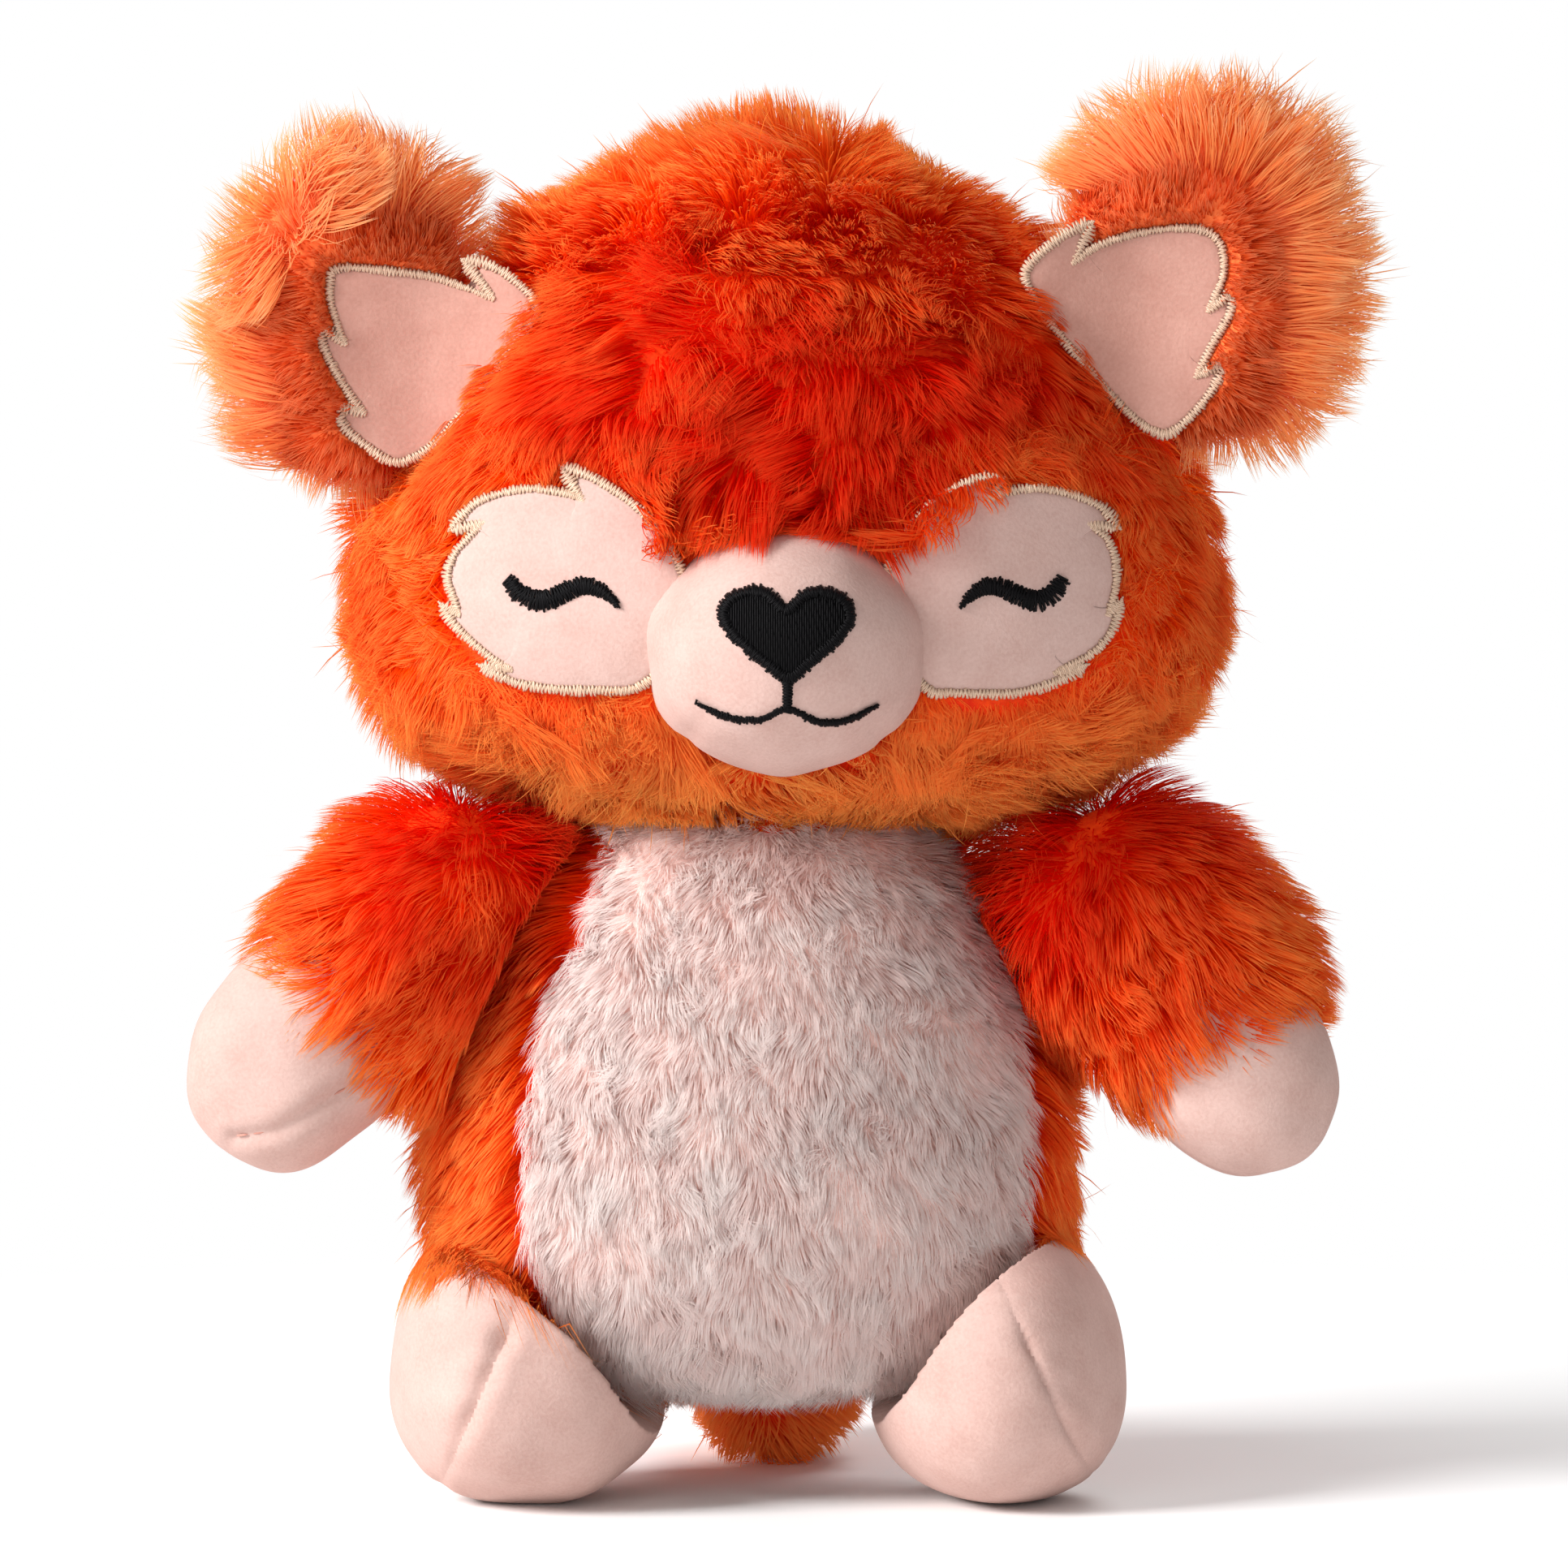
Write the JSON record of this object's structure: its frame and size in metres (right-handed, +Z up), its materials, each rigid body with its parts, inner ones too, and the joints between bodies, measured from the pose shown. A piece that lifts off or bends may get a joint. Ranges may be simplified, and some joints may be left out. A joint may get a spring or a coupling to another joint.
{
  "type": "plush red panda dog toy",
  "caption": "Standing plush red panda dog toy with long orange pile, pale velour paws and feet, and an embroidered sleepy face.",
  "frame": {"origin": "on the floor, below the middle of the toy's bounding box", "axes": "+Z up through the head, the face looks along -Y, +X to the viewer's right"},
  "size_m": [0.2294, 0.1674, 0.278],
  "materials": {
    "orange_plush": "long brushed pile, orange with redder roots and paler tips",
    "orange_nap": "short brushed nap",
    "pink_velour": "short smooth velour",
    "belly_plush": "dense short pile, pale pink",
    "beige_thread": "satin stitch",
    "black_thread": "satin and fill stitch",
    "filling": "white polyester fibre",
    "squeaker_plastic": "thin blow-moulded plastic"
  },
  "bodies": {
    "torso": {"body_shell": "orange_plush", "belly_panel": "belly_plush", "body_filling": "filling", "squeaker_bulb": "squeaker_plastic", "squeaker_reed": "squeaker_plastic"},
    "neck": {"neck_filling": "filling"},
    "head": {"head_shell": "orange_plush", "head_filling": "filling", "muzzle_cover": "pink_velour", "muzzle_filling": "filling", "nose": "black_thread", "mouth": "black_thread", "left_eye_patch": "pink_velour", "right_eye_patch": "pink_velour", "left_patch_edge": "beige_thread", "right_patch_edge": "beige_thread", "left_eye": "black_thread", "right_eye": "black_thread"},
    "left_ear": {"left_ear_back": "orange_plush", "left_ear_front": "orange_nap", "left_ear_panel": "pink_velour", "left_ear_edge": "beige_thread"},
    "right_ear": {"right_ear_back": "orange_plush", "right_ear_front": "orange_nap", "right_ear_panel": "pink_velour", "right_ear_edge": "beige_thread"},
    "left_arm": {"left_sleeve": "orange_plush", "left_paw": "pink_velour", "left_arm_filling": "filling"},
    "right_arm": {"right_sleeve": "orange_plush", "right_paw": "pink_velour", "right_arm_filling": "filling"},
    "left_leg": {"left_foot_toe_panel": "pink_velour", "left_foot_side_panel": "pink_velour", "left_foot_filling": "filling"},
    "right_leg": {"right_foot_toe_panel": "pink_velour", "right_foot_side_panel": "pink_velour", "right_foot_filling": "filling"},
    "tail": {"tail_cover": "orange_plush", "tail_filling": "filling"}
  },
  "joints": [
    {"name": "neck_turn", "type": "hinge", "parent": "torso", "child": "neck", "pos_m": [-0.00133, 0.00166, 0.14], "axis": [0, 0, 1], "range_deg": [-25, 25], "stiffness_Nm_per_rad": 0.25},
    {"name": "neck_nod", "type": "hinge", "parent": "neck", "child": "head", "pos_m": [-0.00133, 0.00166, 0.14], "axis": [1, 0, 0], "range_deg": [-8, 10], "stiffness_Nm_per_rad": 0.6},
    {"name": "left_ear_fold", "type": "hinge", "parent": "head", "child": "left_ear", "pos_m": [-0.05963, -0.02734, 0.228], "axis": [0.4384, 0, 0.8988], "range_deg": [-12, 25], "stiffness_Nm_per_rad": 0.05},
    {"name": "right_ear_fold", "type": "hinge", "parent": "head", "child": "right_ear", "pos_m": [0.05977, -0.02634, 0.233], "axis": [0.5, 0, -0.866], "range_deg": [-12, 25], "stiffness_Nm_per_rad": 0.05},
    {"name": "left_arm_hug", "type": "hinge", "parent": "torso", "child": "left_arm", "pos_m": [-0.05033, -0.01234, 0.116], "axis": [0.4226, 0, 0.9063], "range_deg": [-10, 35], "stiffness_Nm_per_rad": 0.15},
    {"name": "right_arm_hug", "type": "hinge", "parent": "torso", "child": "right_arm", "pos_m": [0.04367, -0.01234, 0.116], "axis": [0.2924, 0, -0.9563], "range_deg": [-10, 35], "stiffness_Nm_per_rad": 0.15},
    {"name": "left_leg_swing", "type": "hinge", "parent": "torso", "child": "left_leg", "pos_m": [-0.04333, 0.00366, 0.04], "axis": [-1, 0, 0], "range_deg": [-15, 35], "stiffness_Nm_per_rad": 1.2},
    {"name": "right_leg_swing", "type": "hinge", "parent": "torso", "child": "right_leg", "pos_m": [0.03967, 0.00366, 0.04], "axis": [-1, 0, 0], "range_deg": [-15, 35], "stiffness_Nm_per_rad": 1.2},
    {"name": "tail_wag", "type": "hinge", "parent": "torso", "child": "tail", "pos_m": [-0.00033, 0.03366, 0.03], "axis": [0, 0, 1], "range_deg": [-25, 25], "stiffness_Nm_per_rad": 0.2}
  ]
}
